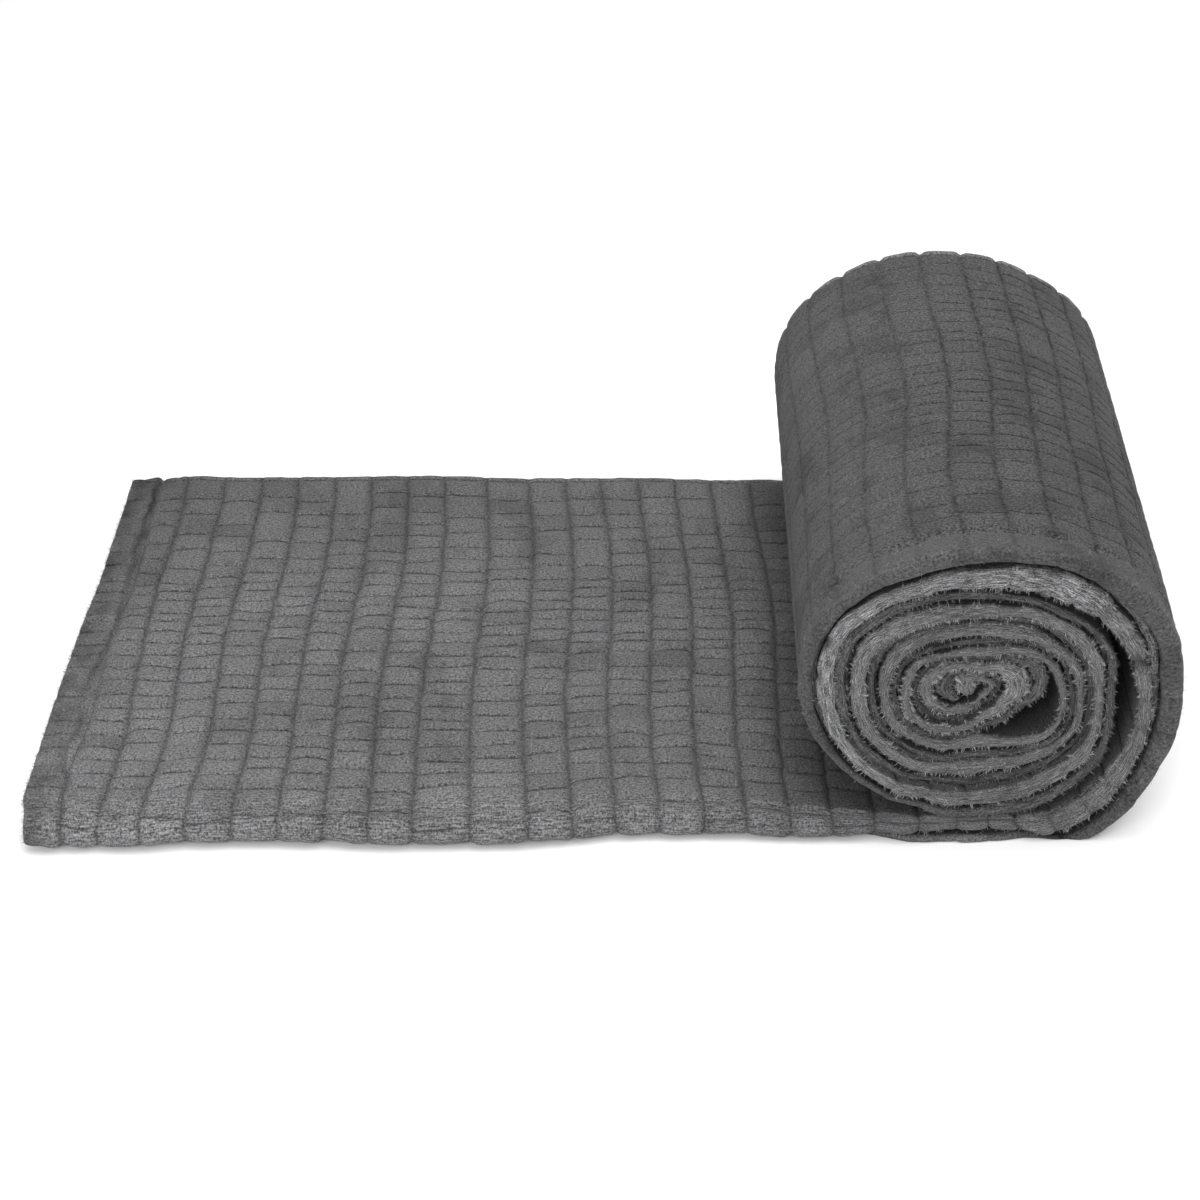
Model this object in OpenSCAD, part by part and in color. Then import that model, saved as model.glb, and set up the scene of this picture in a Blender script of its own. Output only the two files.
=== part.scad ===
// Plush throw blanket, folded in four lengthwise and rolled up from one end.
// The cloth is one hemmed panel. Every solid here is a stretch of one of its four layers,
// of one of its three lengthwise folds, of a turned hem, or of the thread that holds a hem.
// X runs along the flat part towards the roll, Y across the folded width (front at -Y), Z is up.
// Layer 1 is on top of the flat part and on the inside of the roll; layer 4 is underneath and outside.

/* [Cloth] */
// Width of the panel laid out flat, folded in four
panel_width = 1300; // [1200:10:1400]
// Loft of one layer with its air gap, in the flat part
flat_ply = 5; // [4.6:0.1:5.6]
// Loft of one layer with its air gap, pressed in the roll
roll_ply = 3.7; // [3.4:0.05:3.7]
// Air gap between neighbouring layers
ply_gap = 0.3; // [0.2:0.1:0.5]
// Width of the turned hems
hem_width = 23; // [18:1:28]
// Width of a hem's row of stitches
seam_width = 1; // [0.8:0.1:1.5]

/* [Flat part] */
// Length from the free end to the point under the roll's middle
flat_length = 494; // [460:1:540]
// Length of the free end that folds back over the flat part
tail_length = 188; // [150:1:200]
// Length over which the layers thin from the flat part's loft to the roll's
press_length = 144; // [96:12:180]
// Step back of the side hems behind the front fold
hem_setback = 6; // [4:1:10]

/* [Roll] */
// Height of the roll's middle above the floor
roll_radius = 90; // [88:0.5:96]
// Sag of the roll: how much wider each side stands than a round roll's
roll_sag = 8; // [0:0.5:10]
// Distance from one turn to the next
turn_pitch = 15; // [15:0.1:15.5]
// Extra slack of the outermost turn at the top
outer_slack = 10; // [4:0.5:12]
// Angle through which the cloth is wound
roll_angle = 1580; // [1500:10:1590]

/* [Hidden] */
layer_count = 4;
folded_width = panel_width / layer_count;
front_y = -folded_width / 2;
back_y = folded_width / 2;
// Depth of a fold: half the height of the layers that it turns round
pair_fold = roll_ply;
nested_fold = 2 * roll_ply;
hem_front_y = front_y + hem_setback;
side_seam_y = hem_front_y + hem_width;
// How far the stitches lie below both faces of their layer, in layers
seam_inset = 0.1;
// The winding, as angles counted from the point that touches the floor
angle_step = 9;
core_hem_angle = 72;
core_seam_angle = 3;
roll_stations = [for (a = [0:angle_step:roll_angle - core_hem_angle - core_seam_angle - 1]) a];
wound_end = roll_angle - core_hem_angle - core_seam_angle;
// The roll stands widest somewhere between these two angles
widest_from = 60;
widest_to = 140;
widest_step = 2;
// Places along X, with the bounding box centred on the origin
roll_reach = max([for (a = [widest_from:widest_step:widest_to]) skin_radius(a) * sin(a)]);
roll_x = (flat_length - roll_reach) / 2;
free_end_x = roll_x - flat_length;
hinge_x = free_end_x + tail_length;
// Narrow gap that parts the tail from the flat part at the fold line
hinge_gap = 0.4;
press_start_x = roll_x - press_length;
press_step = 12;
cloth_grey = [0.38, 0.38, 0.39];
hem_grey = [0.42, 0.42, 0.43];
thread_grey = [0.3, 0.3, 0.31];

PARTS = ["layer_1", "layer_2", "layer_3", "layer_4", "front_fold", "back_fold_inner",
         "back_fold_outer", "side_hems", "side_seams"];
STRETCHES = ["tail", "run", "roll"];

// Radius of the cloth's outer face at winding angle a
function skin_radius(a) =
    roll_radius - turn_pitch * a / 360 + roll_sag * pow(sin(a), 2)
    + (a < 360 ? outer_slack * sin(a / 2) : 0);

function smooth_step(t) = let (u = min(max(t, 0), 1)) u * u * (3 - 2 * u);

function flat_loft(x) =
    flat_ply + (roll_ply - flat_ply) * smooth_step((x - press_start_x) / (roll_x - press_start_x));

// A station is a place along the cloth: an X in the flat part, an angle in the roll.
// A level counts layers up from the floor side of the cloth.
function flat_point(x, level) = [x, level * flat_loft(x)];

function roll_point(a, level) =
    let (r = skin_radius(a) - level * roll_ply)
    [roll_x + r * sin(a), roll_radius - r * cos(a)];

function cloth_point(wound, station, level) =
    wound ? roll_point(station, level) : flat_point(station, level);

// Closed outline of the cloth between two levels, along a list of stations
function outline(wound, stations, low, high) = concat(
    [for (s = stations) cloth_point(wound, s, low)],
    [for (i = [len(stations) - 1:-1:0]) cloth_point(wound, stations[i], high)]);

module strip(wound, stations, low, high, near_y, far_y)
    translate([0, far_y, 0])
        rotate([90, 0, 0])
            linear_extrude(height = far_y - near_y)
                polygon(outline(wound, stations, low, high));

// Low and high faces of a layer, as levels
function layer_low(layer) = layer_count - layer;

function layer_high(layer) = layer_low(layer) + 1 - ply_gap / roll_ply;

// Front edge of a layer: layers 1 and 2 meet in the front fold, 3 and 4 end in side hems
function layer_front(layer) =
    layer <= 2 ? front_y + pair_fold : side_seam_y + seam_width;

// Back edge of a layer: 2 and 3 meet in the inner fold, 1 and 4 in the outer fold round it
function layer_back(layer) =
    layer == 1 || layer == 4 ? back_y - pair_fold : back_y - nested_fold;

module layer(stretch, layer)
    color(cloth_grey)
        strip(is_wound(stretch), stations(stretch), layer_low(layer), layer_high(layer),
              layer_front(layer), layer_back(layer));

module front_fold(stretch)
    color(cloth_grey)
        strip(is_wound(stretch), fold_stations(stretch), layer_low(2), layer_high(1),
              front_y, front_y + pair_fold);

module back_fold_inner(stretch)
    color(cloth_grey)
        strip(is_wound(stretch), fold_stations(stretch), layer_low(3), layer_high(2),
              back_y - nested_fold, back_y - pair_fold - ply_gap);

module back_fold_outer(stretch)
    color(cloth_grey)
        strip(is_wound(stretch), fold_stations(stretch), layer_low(4), layer_high(1),
              back_y - pair_fold, back_y);

module side_hems(stretch)
    color(hem_grey)
        for (i = [3, 4])
            strip(is_wound(stretch), stations(stretch), layer_low(i), layer_high(i),
                  hem_front_y, side_seam_y);

// The stitches lie a little below both faces of the layer that they go through
module side_seams(stretch)
    color(thread_grey)
        for (i = [3, 4])
            strip(is_wound(stretch), stations(stretch), layer_low(i) + seam_inset,
                  layer_high(i) - seam_inset, side_seam_y, side_seam_y + seam_width);

// Front edge of an end hem: the pair of layers in the front fold reaches to that fold
function end_hem_front(layer) = layer <= 2 ? front_y + pair_fold : hem_front_y;

module end_strips(wound, stations, inset)
    for (i = [1:layer_count])
        strip(wound, stations, layer_low(i) + inset, layer_high(i) - inset,
              end_hem_front(i), layer_back(i));

module tail_end_hem()
    color(hem_grey) end_strips(false, [free_end_x, free_end_x + hem_width], 0);

module tail_end_seam()
    color(thread_grey)
        end_strips(false, [free_end_x + hem_width, free_end_x + hem_width + seam_width], seam_inset);

module core_end_hem()
    color(hem_grey)
        end_strips(true, [for (a = [roll_angle - core_hem_angle:angle_step:roll_angle]) a], 0);

module core_end_seam()
    color(thread_grey)
        end_strips(true, [wound_end, roll_angle - core_hem_angle], seam_inset);

function is_wound(stretch) = stretch == "roll";

// Stations of a stretch between its end hem and the next stretch
function stations(stretch) =
    stretch == "tail" ? [free_end_x + hem_width + seam_width, hinge_x - hinge_gap]
    : stretch == "run" ? run_stations
    : concat(roll_stations, [wound_end]);

// The folds also close the end hems, so they run on to the ends of the cloth
function fold_stations(stretch) =
    stretch == "tail" ? [free_end_x, hinge_x - hinge_gap]
    : stretch == "run" ? run_stations
    : concat([for (a = [0:angle_step:roll_angle - 1]) a], [roll_angle]);

run_stations = concat([hinge_x], [for (x = [press_start_x:press_step:roll_x - 1]) x], [roll_x]);

module cloth_part(stretch, part) {
    if (part == "layer_1") layer(stretch, 1);
    if (part == "layer_2") layer(stretch, 2);
    if (part == "layer_3") layer(stretch, 3);
    if (part == "layer_4") layer(stretch, 4);
    if (part == "front_fold") front_fold(stretch);
    if (part == "back_fold_inner") back_fold_inner(stretch);
    if (part == "back_fold_outer") back_fold_outer(stretch);
    if (part == "side_hems") side_hems(stretch);
    if (part == "side_seams") side_seams(stretch);
}

for (stretch = STRETCHES)
    for (part = PARTS)
        cloth_part(stretch, part);
tail_end_hem();
tail_end_seam();
core_end_hem();
core_end_seam();
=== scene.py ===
"""Looks of the folded and half rolled throw blanket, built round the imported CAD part.

The cloth is one sheet, modelled as a grid that runs along the strip and across the folded section. The
section starts at the side hem of the inner layer at the front. From there ply 1 goes back, ply 2 comes
forward to the front fold, ply 3 lies on top of the flat part, and ply 4 comes forward underneath from the
back fold to the other side hem. In the roll, ply 4 is the skin.
X is along the flat part, Y across it, Z up, in metres.
"""

import math

import bpy
import numpy as np
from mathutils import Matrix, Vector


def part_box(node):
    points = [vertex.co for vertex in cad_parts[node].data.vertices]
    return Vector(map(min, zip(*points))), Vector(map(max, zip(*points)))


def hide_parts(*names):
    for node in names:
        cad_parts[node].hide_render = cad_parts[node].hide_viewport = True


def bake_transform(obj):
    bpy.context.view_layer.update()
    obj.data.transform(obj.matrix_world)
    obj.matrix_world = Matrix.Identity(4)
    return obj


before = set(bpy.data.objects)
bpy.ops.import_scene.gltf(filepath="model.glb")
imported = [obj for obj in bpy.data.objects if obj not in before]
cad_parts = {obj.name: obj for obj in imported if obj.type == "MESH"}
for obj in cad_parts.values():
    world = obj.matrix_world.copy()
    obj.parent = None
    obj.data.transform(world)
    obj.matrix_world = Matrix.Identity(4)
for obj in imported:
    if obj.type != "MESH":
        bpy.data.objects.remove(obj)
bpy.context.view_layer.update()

MM = 0.001
FRONT_Y = round(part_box("tail_front_fold")[0].y, 4)
BACK_Y = round(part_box("tail_back_fold_outer")[1].y, 4)
FREE_END_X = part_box("tail_front_fold")[0].x
FLAT_LENGTH = 0.4975  # from the free end to the point under the roll's middle
ROLL_X = FREE_END_X + FLAT_LENGTH
ROLL_Z = 0.0915  # height of the roll's middle above the floor
COLUMN = 0.0231  # from one column groove to the next
END_HEM = 0.0212  # width of the turned hem at each end
SIDE_HEM = 0.0160  # width of the turned hem at each side
CELLS = 24  # carved cells across the folded width
FLOOR_GAP = 0.0004  # the lowest that the cloth lies


# ------ noise and curves
def smooth(t):
    """Smooth step from 0 at 0 to 1 at 1."""
    t = np.clip(t, 0, 1)
    return t * t * (3 - 2 * t)


def ramp(value, start, length):
    """Smooth step from 0 at start to 1 a length further on."""
    return smooth((value - start) / length)


def bell(distance, width):
    """Bell curve that is 1 at no distance."""
    return np.exp(-((distance / width) ** 2))


def noise(x, y, seed):
    """Smooth noise from -1 to 1 with about one feature per unit."""
    size = 61
    table = np.random.default_rng(seed).uniform(-1, 1, (size, size))
    x, y = np.broadcast_arrays(np.asarray(x, float), np.asarray(y, float))
    column, row = np.floor(x).astype(int), np.floor(y).astype(int)
    right, up = smooth(x - column), smooth(y - row)

    def corner(i, j):
        return table[(column + i) % size, (row + j) % size]

    low = corner(0, 0) * (1 - right) + corner(1, 0) * right
    high = corner(0, 1) * (1 - right) + corner(1, 1) * right
    return low * (1 - up) + high * up


def wave(height, along, length, row, seed):
    """Uneven waves up to a height, about a length apart. Row and seed pick one of many such waves."""
    return height * noise(along / length, row, seed)


def spline(values, t):
    """Curve through evenly spaced values, at t counted in intervals."""
    values = np.asarray(values, float)
    i = np.clip(np.floor(t).astype(int), 0, len(values) - 2)
    f = t - i
    before, start = values[np.maximum(i - 1, 0)], values[i]
    end, after = values[i + 1], values[np.minimum(i + 2, len(values) - 1)]
    return 0.5 * (
        2 * start
        + (end - before) * f
        + (2 * before - 5 * start + 4 * end - after) * f**2
        + (3 * start - before - 3 * end + after) * f**3
    )


# ------ the winding
# Outer radius of each turn in mm, every 30 degrees from the floor: floor, front right, right ...
STEP = 30
OUTER = [
    92, 110, 104.5, 100.5, 101, 95, 92, 95, 97.5, 92.5, 82, 75.5,
    76, 77, 73, 65.5, 69, 66, 66.5, 74, 80.5, 75, 68.5, 62.5,
    58, 58, 59, 55.5, 55, 54, 51, 55, 62, 59, 54, 49,
    41, 44.5, 50, 46.5, 44, 38, 34.5, 38, 46, 46.5, 43, 35,
    25, 22, 22, 31, 33, 25.5, 22, 26, 34, 36.5, 32, 24,
    12.5, 10, 8, 9, 10, 10.5, 11, 14, 20, 24, 18,
]
# Height of the four layers together in mm, at the same places
LOFT = [
    15.5, 25, 23.5, 23, 27, 25, 23, 20, 17, 17.5, 13, 12.5,
    17.5, 18, 13.5, 10, 13.5, 11.5, 15, 18.5, 18, 15.5, 14, 13.5,
    16.5, 13, 8.5, 8.5, 10.5, 15.5, 16, 16.5, 15.5, 12, 10.5, 13.5,
    13.5, 11, 8, 8, 9, 10, 11, 10, 9.5, 9.5, 9, 10,
    11.5, 10.5, 12, 19, 21, 13.5, 10.5, 11, 11.5, 10.5, 11, 11,
    8, 7, 6, 6, 7, 8, 8.5, 11, 16, 20, 14,
]
LAST_ANGLE = STEP * (len(OUTER) - 1)
PINCH = 107  # angle at which the outer fold is nipped in
INNER_TURNS = 330  # angle from which the cloth lies inside the outer turn
# Height of the flat stack at its free end, along it, and where it meets the roll
FREE_LOFT, FLAT_LOFT, PRESSED_LOFT = 0.0210, 0.0195, 0.0155
LEAN_X = 0.0065  # how far the back of the roll stands to the right of its front
RIGHT_LEAN_X = 0.0045  # how much of that the roll's right side lacks
SLUMP, SLUMP_ANGLE = 0.0024, 152  # how far the roll's back sags below its front, and where


def across_of(y):
    """Place across the folded width, from 0 at the front to 1 at the back."""
    return (y - FRONT_Y) / (BACK_Y - FRONT_Y)


def flat_loft(x):
    """Height of the flat stack: puffed at the free end, pressed near the roll."""
    along = (x - FREE_END_X) / FLAT_LENGTH
    pressed = (FLAT_LOFT - PRESSED_LOFT) * ramp(along, 0.45, 0.5)
    return FLAT_LOFT - pressed + (FREE_LOFT - FLAT_LOFT) * (1 - smooth(along / 0.08))


def loft(station):
    """Height of the stack at a station."""
    wound = spline(LOFT, np.clip(station, 0, LAST_ANGLE) / STEP) * MM
    return np.where(station < 0, flat_loft(ROLL_X + station), wound)


def base(station, level, y):
    """Point in the XZ plane at a station, level metres above the outer face of the stack.
    A station below 0 counts metres back from under the roll's middle; above 0 it is a winding angle."""
    flat = station < 0
    angle = np.clip(station, 0, LAST_ANGLE)
    turned = np.radians(angle)
    radius = spline(OUTER, angle / STEP) * MM - level
    x = np.where(flat, ROLL_X + station, ROLL_X + radius * np.sin(turned))
    # the first degrees of the roll don't sink into the floor
    grounded = level * smooth((40 - angle) / 40) * 0.98
    z = np.where(flat, level, np.maximum(ROLL_Z - radius * np.cos(turned), grounded))
    lean = ramp(x - ROLL_X, -0.14, 0.16) * LEAN_X - ramp(x - ROLL_X, 0.01, 0.05) * RIGHT_LEAN_X
    slump = np.where(flat, 0, SLUMP * bell(angle - SLUMP_ANGLE, 32))
    return x + lean * across_of(y), z - slump * across_of(y)


def run_of(points):
    """Length of a path up to each of its points."""
    x, z = points
    return np.concatenate([[0], np.cumsum(np.hypot(np.diff(x), np.diff(z)))])


# The outer layer has further to go round the roll, so its columns lie closer than the middle's would
STATIONS = np.concatenate([np.linspace(-FLAT_LENGTH, 0, 400), np.linspace(0.01, LAST_ANGLE, 6000)])
MIDDLE_RUN = run_of(base(STATIONS, loft(STATIONS) / 2, FRONT_Y))
SKIN_RUN = run_of(base(STATIONS, 0, FRONT_Y))
CLOTH_LENGTH = MIDDLE_RUN[-1]


def station_at(s):
    """Station at a length along the middle of the stack."""
    return np.interp(s, MIDDLE_RUN, STATIONS)


def column_at(s):
    """Columns of the outer layer up to a length along the middle of the stack."""
    return (np.interp(s, MIDDLE_RUN, SKIN_RUN) - END_HEM) / COLUMN


def place_of(column):
    """Length along the middle of the stack at a column."""
    return np.interp(END_HEM + column * COLUMN, SKIN_RUN, MIDDLE_RUN)


def columns_up_to(angle):
    """Whole columns up to a winding angle."""
    return int(column_at(np.interp(angle, STATIONS, MIDDLE_RUN)))


LAST_COLUMN = int(column_at(CLOTH_LENGTH - END_HEM))
FLAT_COLUMNS = columns_up_to(0) + 1
SKIN_COLUMNS = columns_up_to(360) + 3
CORE_COLUMNS = columns_up_to(1440)

# ------ lines across the section
SEGMENTS = ("turn_1", "lip_1", "ply_1", "inner_fold", "ply_2", "front_fold", "ply_3", "back_fold",
            "ply_4", "hem_4", "lip_4", "turn_4")
HIDDEN = ("turn_1", "ply_1", "inner_fold", "ply_2", "turn_4")
NO_CELL = -1
# Places of the lines across a cell, and across a ply whose cells don't show
CELL_T = [0, 0.1, 0.24, 0.5, 0.76, 0.9]
GRADED_T = [0, 0.004, 0.012, 0.025, 0.045, 0.08, 0.14, 0.25, 0.45, 0.7, 0.88]
# Places of the rows along a column of the skin, of the inner turns and of the core, and along an end hem
COLUMN_T = [0, 0.05, 0.11, 0.2, 0.35, 0.5, 0.65, 0.8, 0.89, 0.95]
COARSE_T = [0, 0.06, 0.15, 0.3, 0.5, 0.7, 0.85, 0.94]
CORE_T = [n / 16 for n in range(16)]
END_HEM_T = np.array([0, 0.06, 0.13, 0.21, 0.3, 0.4, 0.5, 0.6, 0.7, 0.79, 0.87, 0.93, 0.97])


def by_segment(name, choices, default=0):
    """For each line, the choice for the segment that it lies on."""
    return np.select([name == segment for segment in choices], choices.values(), default)


def even_lines(name, count):
    """Lines spaced evenly along a segment."""
    number = SEGMENTS.index(name)
    return [(number, n / count, NO_CELL, 0.5) for n in range(count)]


def graded_lines(name, front_last):
    """Lines across a ply, closest together at its front."""
    number = SEGMENTS.index(name)
    places = [0] + [1 - t for t in GRADED_T[:0:-1]] if front_last else GRADED_T
    return [(number, t, NO_CELL, 0.5) for t in places]


def cell_lines(name):
    """Lines that follow the carved cells across a ply."""
    number = SEGMENTS.index(name)
    return [(number, (cell + t) / CELLS, cell, t) for cell in range(CELLS) for t in CELL_T]


def lines_of(carved_3, carved_4):
    """The grid's lines: number of the segment, fraction along it, number of the cell, place in the cell."""
    rows = even_lines("turn_1", 3) + even_lines("lip_1", 8) + graded_lines("ply_1", False)
    rows += even_lines("inner_fold", 2) + graded_lines("ply_2", True) + even_lines("front_fold", 24)
    rows += cell_lines("ply_3") if carved_3 else graded_lines("ply_3", False)
    rows += even_lines("back_fold", 16)
    rows += cell_lines("ply_4") if carved_4 else graded_lines("ply_4", True)
    rows += even_lines("hem_4", 9) + even_lines("lip_4", 10) + even_lines("turn_4", 3)
    return np.array(rows + [(len(SEGMENTS) - 1, 1.0, NO_CELL, 0.5)])


# ------ the folded section
PLY_GAP = 0.0004  # half of the gap between two plies inside the stack
TUCK = 0.018  # how far a side hem turns back inside
SQUARE, BACK_SQUARE = 0.64, 0.7  # powers that make the folded edges fuller than round ones
LYING_REACH = 0.009  # how much wider the front and back folds spread where the cloth lies flat
FRONT_SPREAD = 0.0078  # how far the front fold stands out in the first half of the flat part
FRONT_INSET, BACK_INSET = 0.0015, 0.001  # how far the folds lie inside the folded width elsewhere
TURN_RECESS = 0.0012  # how far the front steps back after one turn
HEM_INSET_4, HEM_INSET_1 = 0.013, 0.014  # how far the side hems lie behind the front fold in the flat part
NIP = 0.005  # depth of the pinch in the outer fold


def front_edge(s, angle):
    """Y of the front fold along the strip: it spreads in the flat part and steps back turn by turn."""
    wound = smooth(angle / 60)
    spread = FRONT_SPREAD * (1 - ramp(s, 0.24, 0.07)) - 0.0020 * bell(s - 0.325, 0.045)
    recess = TURN_RECESS * np.clip(angle / 360, 0, 5) ** 1.5 * wound
    wander = wave(0.0014, s, 0.05, 3.1, 21) + wave(0.0010, s, 0.017, 7.7, 22)
    wander = wander + wound * (wave(0.002, s, 0.12, 1.3, 23) + wave(0.0009, s, 0.009, 4.7, 70))
    return FRONT_Y + FRONT_INSET - spread + recess + wander


def section(name, f, s, height, angle):
    """Y and level of a line at a place along the cloth, and the girth of the fold that it lies on."""
    wound = smooth(angle / 60)
    opened = ramp(s - FLAT_LENGTH, -0.11, 0.09)  # the side hems show from here on
    lying = (1 - ramp(s, 0.42, 0.10)) * (0.45 + 0.55 * smooth(s / 0.05))
    # how much of the stack's height ply 4 takes up, and plies 4 and 1 together
    share_4 = 0.21 + 0.11 * opened + 0.15 * ramp(angle, 35, 30) * (1 - ramp(angle, 120, 30))
    share_4 = share_4 + wound * (wave(0.06, s, 0.045, 6.1, 27) + wave(0.03, s, 0.013, 2.9, 68))
    share_1 = share_4 + 0.14 + wound * (wave(0.06, s, 0.03, 8.3, 28) + wave(0.03, s, 0.012, 7.1, 69))
    top_4, top_1 = share_4 * height, share_1 * height
    radius_4, radius_1, radius_back = top_4 / 2, (top_1 - top_4) / 2, height / 2
    radius_front = (height - top_1) / 2
    reach = radius_front + LYING_REACH * (1 - opened)
    # Y of each folded edge, of where its curve starts, and of the inner back fold
    front = front_edge(s, angle)
    front_4 = front + HEM_INSET_4 - 0.0125 * opened + wave(0.0016, s, 0.06, 5.5, 24)
    front_1 = front + HEM_INSET_1 - 0.006 * opened + wave(0.0015, s, 0.05, 9.5, 25)
    back = BACK_Y - BACK_INSET - wave(0.0008, s, 0.07, 2.5, 26) + LYING_REACH * lying
    start_4, start_1, start_front = front_4 + radius_4, front_1 + radius_1, front + reach
    start_back, inside = back - radius_back, back - height + 0.004
    nip = NIP * bell(angle - PINCH, 5)
    swing = np.pi * f
    front_swing = swing - np.pi * 0.10 * (1 - opened) * np.sin(2 * swing)
    low, high = top_1 - PLY_GAP, top_1 + PLY_GAP
    places = {
        "turn_1": (start_1 + TUCK * (1 - f), top_4 + PLY_GAP),
        "lip_1": (start_1 - radius_1 * np.sin(swing) ** SQUARE, top_4 + radius_1 * (1 - np.cos(swing))),
        "ply_1": (start_1 + f * (inside - start_1), low),
        "inner_fold": (inside + 0.001 * np.sin(swing), low + 2 * PLY_GAP * f),
        "ply_2": (inside + f * (start_front - inside), high),
        "front_fold": (start_front - reach * np.sin(front_swing) ** SQUARE + nip,
                       high + (height - high) * (1 - np.cos(front_swing)) / 2),
        "ply_3": (start_front + f * (start_back - start_front), height),
        "back_fold": (start_back + radius_back * np.sin(swing) ** BACK_SQUARE,
                      radius_back * (1 + np.cos(swing))),
        "ply_4": (start_back + f * (start_4 + SIDE_HEM - start_back), 0),
        "hem_4": (start_4 + SIDE_HEM * (1 - f), 0),
        "lip_4": (start_4 - radius_4 * np.sin(swing) ** SQUARE, radius_4 * (1 - np.cos(swing))),
        "turn_4": (start_4 + TUCK * f, top_4 - PLY_GAP),
    }
    y, level = (by_segment(name, {segment: place[i] for segment, place in places.items()}) for i in (0, 1))
    mean_radii = {"lip_1": radius_1, "lip_4": radius_4, "front_fold": (radius_front + reach) / 2}
    girth = np.pi * by_segment(name, mean_radii)
    # in the flat part the front fold droops over the hems, down to the floor, and the back is puffed
    upper = np.isin(name, ("ply_2", "front_fold", "ply_3"))
    share = np.clip((level - top_1) / (height - top_1), 0, 1)
    droop = top_1 * (1 - smooth((y - front) / 0.013)) * (1 - opened) * (1 - 0.7 * share)
    level = np.where(upper, level - droop, level)
    puff = 0.0016 * lying * ramp(y - back, -0.035, 0.035) * smooth(level / 0.012)
    return y, level + puff, girth


def painted_shade_of(name, f, girth, y, angle, s):
    """Painted shade, from 0 to 1: how much darker the pile's colour is painted in the creases between the
    layers, in the pinch, under and inside the roll, and on the plies that don't show.
    """
    wound, inner = ramp(angle, 10, 60), ramp(angle, INNER_TURNS, 50)
    ragged = 1 + wave(0.55, s, 0.007, 3.3, 67)

    def near_start(width):
        return bell(f * girth, width * ragged)

    def near_end(width):
        return bell((1 - f) * girth, width * ragged)

    pinch = 0.9 * bell(angle - PINCH - 7 * (f - 0.5), 2.2) * smooth((0.75 - f) / 0.3)
    # painted shade in the crevices at the edges of the folds and lips, and in the pinch of the outer fold
    fold = np.maximum(np.maximum(near_start(0.0017), 0.95 * wound * near_end(0.0015)), pinch)
    lip_1 = np.maximum(near_start(0.0010), near_end(0.0010))
    lip_4 = np.maximum(near_end(0.0016), 0.95 * inner * near_start(0.0018))
    # painted shadow: the top of the cloth is painted darker where it lies in the dark under the roll, and
    # inside it
    deep = np.maximum(ramp(y - FRONT_Y, 0.006, 0.030), ramp(angle, 700, 50))
    top = 0.74 * ramp(s - FLAT_LENGTH, -0.130, 0.06) + 0.44 * inner * deep
    # painted shade inside the roll on the skin's ply and hem; the plies that don't show are painted fully
    # dark
    shades = {"front_fold": fold, "lip_1": lip_1, "lip_4": lip_4, "ply_3": top, "hem_4": inner,
              "ply_4": inner, "back_fold": 0}
    return np.clip(by_segment(name, shades, 1.0), 0, 1)


# ------ the carved pattern
FAR = 0.0055  # a distance to a groove at which the groove has no effect
SHALLOW_SHARE, FADED_SHARE = 0.4, 0.03  # of all the cross grooves
# Relative width of some cells, by their number along the ply; the others lie between them
CELL_WIDTHS = ((0, 1.08), (4, 0.95), (9, 1.0), (13, 0.86), (16, 0.84), (19, 1.22), (23, 1.36))


def column_shift(s, across):
    """How far the column grooves sway along the strip."""
    sway = 0.0022 * np.sin(2 * np.pi * (across * 1.25 + s * 1.3)) + 0.0016 * noise(across * 4, s / 0.09, 31)
    sway = sway + 0.0007 * noise(across * 34, s / 0.02, 32)
    sway = sway + 0.0032 * (1 - smooth(s / 0.08)) * noise(across * 9, s / 0.03, 33)
    # near the roll the columns lie further on, most at the front
    far = ramp(s, 0.20, 0.06)
    spread = (0.0122 - 0.0075 * across) * far * (1 - ramp(s, 0.455, 0.08))
    return sway + spread - 0.0035 * (1 - bell(across - 0.5, 0.28)) * (1 - far)


def cell_edges(column, seed):
    """Where the cross grooves of one column lie, as fractions from 0 to 1."""
    r = np.random.default_rng(seed * 1000 + column)
    widths = np.exp(r.normal(0, 0.15, CELLS)) * np.interp(np.arange(CELLS), *zip(*CELL_WIDTHS))
    edges = np.concatenate([[0], np.cumsum(widths)])
    return edges / edges[-1]


def carved_lines(columns, column_t, lines):
    """Each point's fraction along its segment, distance to a cross groove, and cell's tone."""
    shape = (len(columns), len(lines))
    f, gap, tone = np.broadcast_to(lines[:, 1], shape).copy(), np.full(shape, FAR), np.zeros(shape)
    for segment, seed in (("ply_3", 3), ("ply_4", 4)):
        own = np.where((lines[:, 0] == SEGMENTS.index(segment)) & (lines[:, 2] != NO_CELL))[0]
        cell, t = lines[own, 2].astype(int), lines[own, 3]
        for column in np.unique(columns):
            edges, before = cell_edges(column, seed), cell_edges(column - 1, seed)
            theirs = before[cell] + (before[cell + 1] - before[cell]) * t
            width = (edges[cell + 1] - edges[cell]) * (BACK_Y - FRONT_Y)
            r = np.random.default_rng(seed * 7000 + column)
            lot = r.uniform(size=CELLS + 1)
            shallow = np.where(lot < SHALLOW_SHARE, 0.0003 * r.uniform(0.2, 1, CELLS + 1), 0)
            lift = np.where(lot < FADED_SHARE, 0.004, shallow)
            tones = r.normal(0, 1, CELLS)[cell]
            tilt, bow = r.normal(0, 0.0042, CELLS + 1), r.normal(0, 0.0022, CELLS + 1)
            tilt[[0, -1]], bow[[0, -1]] = 0, 0
            for row in np.where(columns == column)[0]:
                middle = column_t[row] - 0.5
                turned = edges + tilt * middle + bow * (1 - 8 * middle**2)
                mine = turned[cell] + (turned[cell + 1] - turned[cell]) * t
                on_edge = column_t[row] == 0
                f[row, own] = (mine + theirs) / 2 if on_edge else mine
                gap[row, own] = np.minimum(t * width + lift[cell], (1 - t) * width + lift[cell + 1])
                tone[row, own] = 0 if on_edge else tones
    return f, gap, tone


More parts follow.
